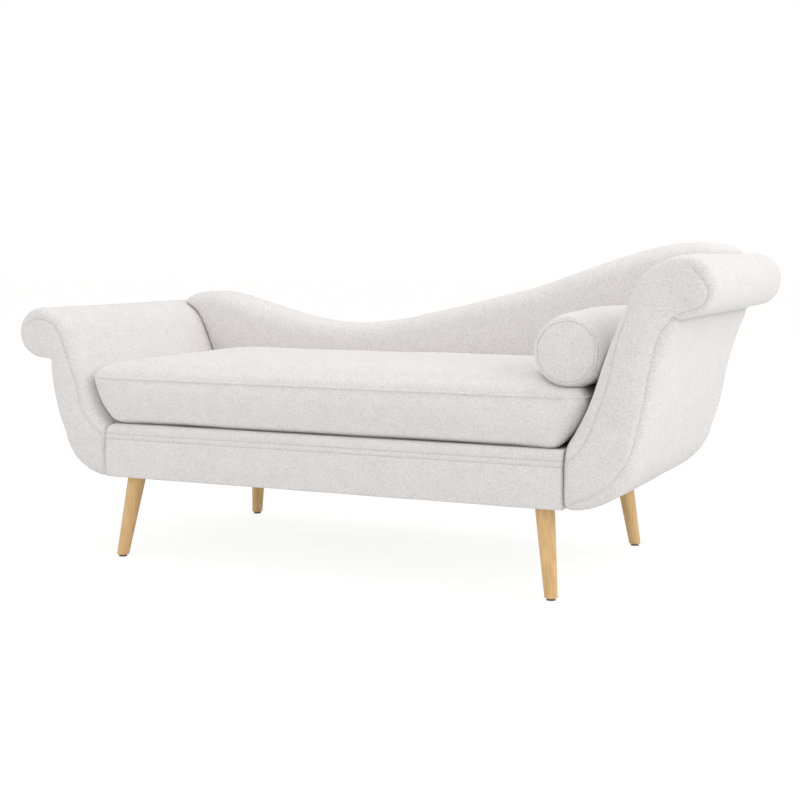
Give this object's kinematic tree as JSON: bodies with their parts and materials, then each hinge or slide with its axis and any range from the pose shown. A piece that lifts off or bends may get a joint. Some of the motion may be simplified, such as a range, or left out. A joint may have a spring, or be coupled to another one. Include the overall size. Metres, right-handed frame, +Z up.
{
  "type": "chaise longue",
  "caption": "Upholstered chaise longue with two scrolled arms of unequal height, a wavy back, a boxed seat cushion, a round bolster and splayed tapered wooden legs.",
  "frame": {"origin": "on the floor, under the middle of the overall box", "axes": "+X along the seat towards the taller arm, +Y from the front to the back, +Z up"},
  "size_m": [1.6759, 0.6763, 0.7354],
  "materials": {
    "looped_fabric": "looped pile",
    "foam": "matt",
    "lining_cloth": "matt",
    "webbing": "woven",
    "leg_wood": "clear satin",
    "frame_wood": "planed",
    "steel": "zinc plated",
    "plastic": "matt",
    "zip_plastic": "matt"
  },
  "bodies": {
    "chaise": {"front_rail": "frame_wood", "rear_rail": "frame_wood", "left_end_rail": "frame_wood", "right_end_rail": "frame_wood", "cross_rails": "frame_wood", "corner_blocks": "frame_wood", "front_left_leg": "leg_wood", "front_right_leg": "leg_wood", "rear_left_leg": "leg_wood", "rear_right_leg": "leg_wood", "hanger_bolts": "steel", "leg_plates": "steel", "leg_plate_screws": "steel", "leg_glides": "plastic", "seat_webbing_across": "webbing", "seat_webbing_along": "webbing", "seat_deck_pad": "foam", "seat_deck_cloth": "lining_cloth", "dust_cover": "lining_cloth", "front_rail_padding": "foam", "front_rail_cover": "looped_fabric", "front_rail_band": "looped_fabric", "left_arm_front_rib": "frame_wood", "left_arm_rear_rib": "frame_wood", "left_arm_slats": "frame_wood", "left_arm_side_board": "frame_wood", "left_arm_roll_pole": "frame_wood", "left_arm_foam": "foam", "left_arm_cover": "looped_fabric", "right_arm_front_rib": "frame_wood", "right_arm_rear_rib": "frame_wood", "right_arm_slats": "frame_wood", "right_arm_side_board": "frame_wood", "right_arm_roll_pole": "frame_wood", "right_arm_foam": "foam", "right_arm_cover": "looped_fabric", "arm_bolts": "steel", "arm_bolt_nuts": "steel", "back_posts": "frame_wood", "back_dowels": "frame_wood", "back_crest_board": "frame_wood", "back_foam": "foam", "back_cover": "looped_fabric"},
    "seat_cushion": {"seat_cushion_core": "foam", "seat_cushion_cover": "looped_fabric", "seat_cushion_piping": "looped_fabric", "seat_cushion_zip": "zip_plastic"},
    "cushion_zip_slider": {"seat_cushion_zip_slider": "zip_plastic"},
    "bolster": {"bolster_core": "foam", "bolster_cover": "looped_fabric", "bolster_front_piping": "looped_fabric", "bolster_rear_piping": "looped_fabric", "bolster_zip": "zip_plastic"},
    "bolster_zip_slider": {"bolster_zip_slider": "zip_plastic"}
  },
  "joints": [
    {"name": "seat_cushion_lift", "type": "slide", "parent": "chaise", "child": "seat_cushion", "axis": [0, 0, 1], "range_m": [0, 0.25]},
    {"name": "cushion_zip", "type": "slide", "parent": "seat_cushion", "child": "cushion_zip_slider", "axis": [1, 0, 0], "range_m": [0, 0.676]},
    {"name": "bolster_lift", "type": "slide", "parent": "seat_cushion", "child": "bolster", "axis": [0, 0, 1], "range_m": [0, 0.25]},
    {"name": "bolster_zip", "type": "slide", "parent": "bolster", "child": "bolster_zip_slider", "axis": [0, 1, 0], "range_m": [0, 0.356]}
  ]
}
